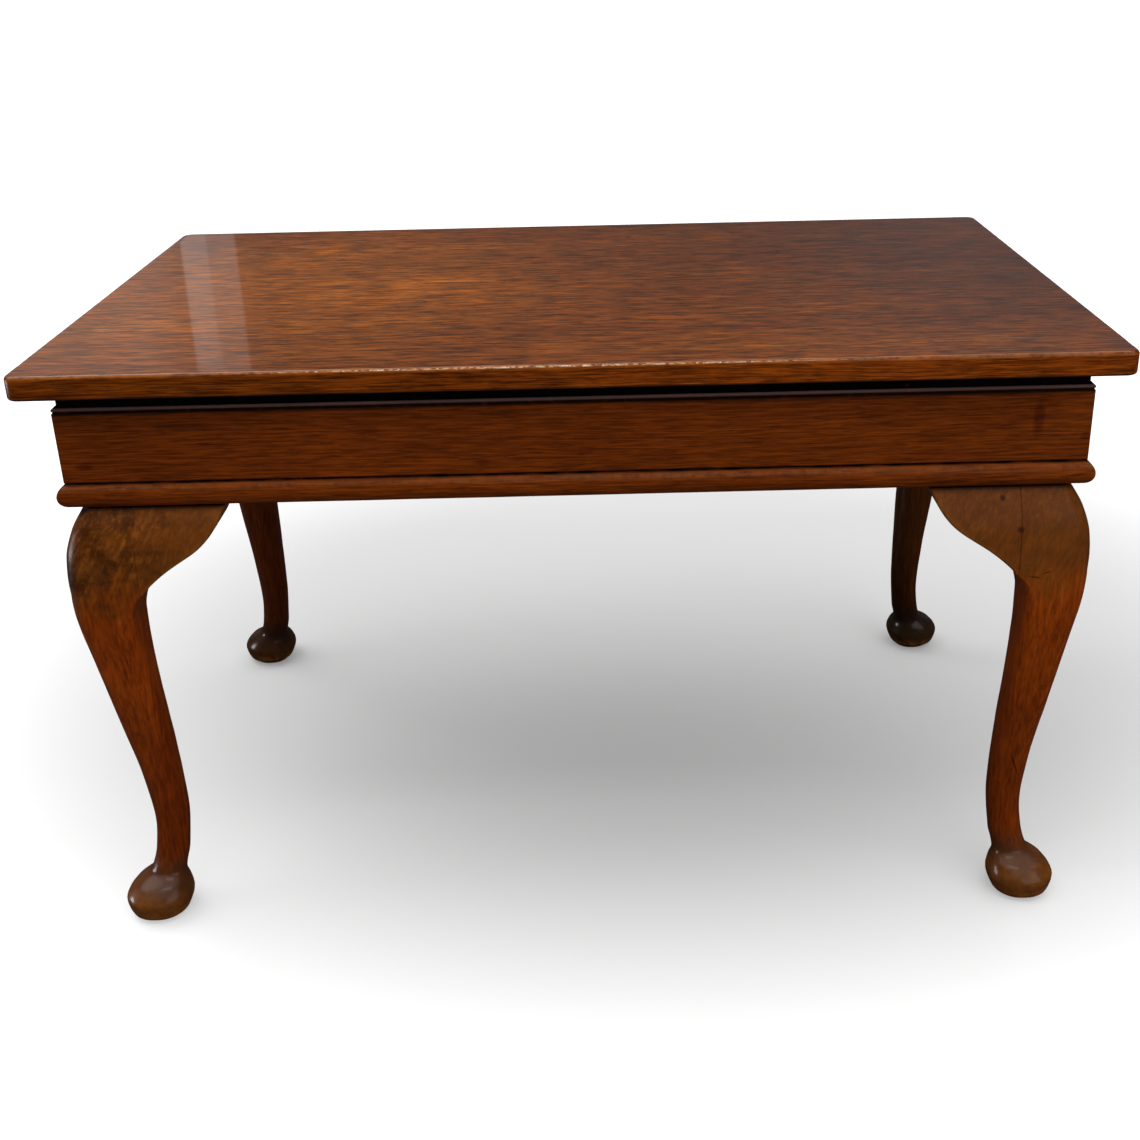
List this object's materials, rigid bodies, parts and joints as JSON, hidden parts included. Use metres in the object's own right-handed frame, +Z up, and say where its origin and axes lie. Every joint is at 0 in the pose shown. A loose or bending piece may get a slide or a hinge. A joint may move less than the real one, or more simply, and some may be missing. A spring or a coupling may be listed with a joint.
{
  "type": "storage coffee table",
  "caption": "Low mahogany storage table: a shallow box under an overhanging lift-up lid hinged along its back edge, on cabriole legs with pad feet.",
  "frame": {"origin": "on the floor under the middle of the lid", "axes": "+X along the table's length, to the right seen from the front; +Y towards the hinged back; +Z up"},
  "size_m": [0.838, 0.517, 0.495],
  "materials": {
    "top": "polished mahogany",
    "frieze": "darker polished mahogany",
    "legs": "worn polished mahogany",
    "lining": "plain unpolished wood",
    "hinge_brass": "aged brass",
    "screw_steel": "dull steel"
  },
  "bodies": {
    "base": {"frieze_front": "frieze", "frieze_left": "frieze", "frieze_right": "frieze", "back_rail": "frieze", "lining_front": "lining", "lining_back": "lining", "lining_left": "lining", "lining_right": "lining", "bottom_panel": "lining", "base_frame_front": "legs", "base_frame_back": "legs", "base_frame_left": "legs", "base_frame_right": "legs", "leg_front_left": "legs", "leg_front_right": "legs", "leg_back_left": "legs", "leg_back_right": "legs", "ear_front_left_front": "legs", "ear_front_left_side": "legs", "ear_front_right_front": "legs", "ear_front_right_side": "legs", "ear_back_left_back": "legs", "ear_back_left_side": "legs", "ear_back_right_back": "legs", "ear_back_right_side": "legs", "leg_screw_front_left_1": "screw_steel", "leg_screw_front_left_2": "screw_steel", "leg_screw_front_right_1": "screw_steel", "leg_screw_front_right_2": "screw_steel", "leg_screw_back_left_1": "screw_steel", "leg_screw_back_left_2": "screw_steel", "leg_screw_back_right_1": "screw_steel", "leg_screw_back_right_2": "screw_steel", "hinge_left_box_leaf": "hinge_brass", "hinge_left_box_leaf_screw_1": "hinge_brass", "hinge_left_box_leaf_screw_2": "hinge_brass", "hinge_left_box_leaf_screw_3": "hinge_brass", "hinge_left_pin": "hinge_brass", "hinge_right_box_leaf": "hinge_brass", "hinge_right_box_leaf_screw_1": "hinge_brass", "hinge_right_box_leaf_screw_2": "hinge_brass", "hinge_right_box_leaf_screw_3": "hinge_brass", "hinge_right_pin": "hinge_brass"},
    "lid": {"lid_panel": "top", "hinge_left_lid_leaf": "hinge_brass", "hinge_left_lid_leaf_screw_1": "hinge_brass", "hinge_left_lid_leaf_screw_2": "hinge_brass", "hinge_left_lid_leaf_screw_3": "hinge_brass", "hinge_right_lid_leaf": "hinge_brass", "hinge_right_lid_leaf_screw_1": "hinge_brass", "hinge_right_lid_leaf_screw_2": "hinge_brass", "hinge_right_lid_leaf_screw_3": "hinge_brass"}
  },
  "joints": [
    {"name": "lid_hinge", "type": "hinge", "parent": "base", "child": "lid", "pos_m": [0, 0.2416, 0.47585], "axis": [-1, 0, 0], "range_deg": [0, 105]}
  ]
}
